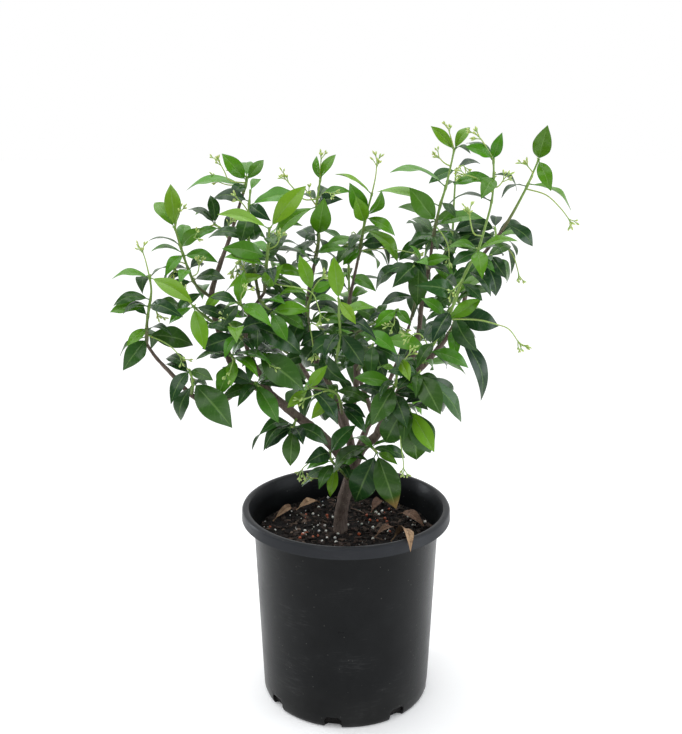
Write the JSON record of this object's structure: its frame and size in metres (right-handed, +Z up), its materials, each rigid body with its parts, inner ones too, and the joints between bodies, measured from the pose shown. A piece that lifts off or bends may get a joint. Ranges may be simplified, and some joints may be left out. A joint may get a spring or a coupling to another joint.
{
  "type": "potted star jasmine",
  "caption": "Bushy star jasmine plant with a woody trunk, leafy stems and small buds, growing in potting soil in a round tapered black nursery pot with a rolled rim.",
  "frame": {"origin": "centre of the flat underside of the pot, where it rests", "axes": "+Z up, the side that faces the viewer is -Y, +X to the viewer's right"},
  "size_m": [0.4235, 0.2502, 0.5738],
  "materials": {
    "black_plastic": "satin black moulded plastic with fine scuffs",
    "potting_mix": "damp composted bark with prills",
    "bark": "rough grey-brown bark",
    "leafy_stem": "glossy waxy green leaves on green stems",
    "dead_leaf": "dry curled brown leaf"
  },
  "bodies": {
    "root": {"pot": "black_plastic", "soil": "potting_mix", "trunk": "bark", "far_left_stem": "leafy_stem", "left_tall_stem": "leafy_stem", "left_fork_stem": "leafy_stem", "top_left_stem": "leafy_stem", "pale_stem": "leafy_stem", "left_light_stem": "leafy_stem", "centre_left_stem": "leafy_stem", "front_pale_stem": "leafy_stem", "front_left_stem": "leafy_stem", "centre_stem": "leafy_stem", "right_tall_stem": "leafy_stem", "right_front_stem": "leafy_stem", "far_right_stem": "leafy_stem", "right_thin_stem": "leafy_stem", "right_dark_stem": "leafy_stem", "right_upper_stem": "leafy_stem", "right_mid_stem": "leafy_stem", "right_big_stem": "leafy_stem", "right_low_stem": "leafy_stem", "front_mid_stem": "leafy_stem", "low_front_stem": "leafy_stem", "low_left_stem": "leafy_stem", "left_under_stem": "leafy_stem", "left_front_stem": "leafy_stem", "left_hanging_stem": "leafy_stem", "left_bright_stem": "leafy_stem", "left_dark_stem": "leafy_stem", "left_mid_stem": "leafy_stem", "left_centre_stem": "leafy_stem", "inner_upper_stem": "leafy_stem", "inner_mid_stem": "leafy_stem", "inner_low_stem": "leafy_stem", "centre_bright_stem": "leafy_stem", "centre_dark_stem": "leafy_stem", "centre_low_stem": "leafy_stem", "centre_right_stem": "leafy_stem", "centre_upper_stem": "leafy_stem", "mid_dark_stem": "leafy_stem", "rear_left_top_stem": "leafy_stem", "rear_left_side_stem": "leafy_stem", "rear_left_low_stem": "leafy_stem", "rear_middle_top_stem": "leafy_stem", "rear_middle_low_stem": "leafy_stem", "rear_right_top_stem": "leafy_stem", "rear_right_side_stem": "leafy_stem", "rear_right_low_stem": "leafy_stem", "dead_leaf_front": "dead_leaf", "dead_leaf_left": "dead_leaf", "dead_leaf_left_edge": "dead_leaf", "dead_leaf_right": "dead_leaf", "dead_leaf_rear": "dead_leaf", "dead_leaf_middle": "dead_leaf"}
  },
  "joints": []
}
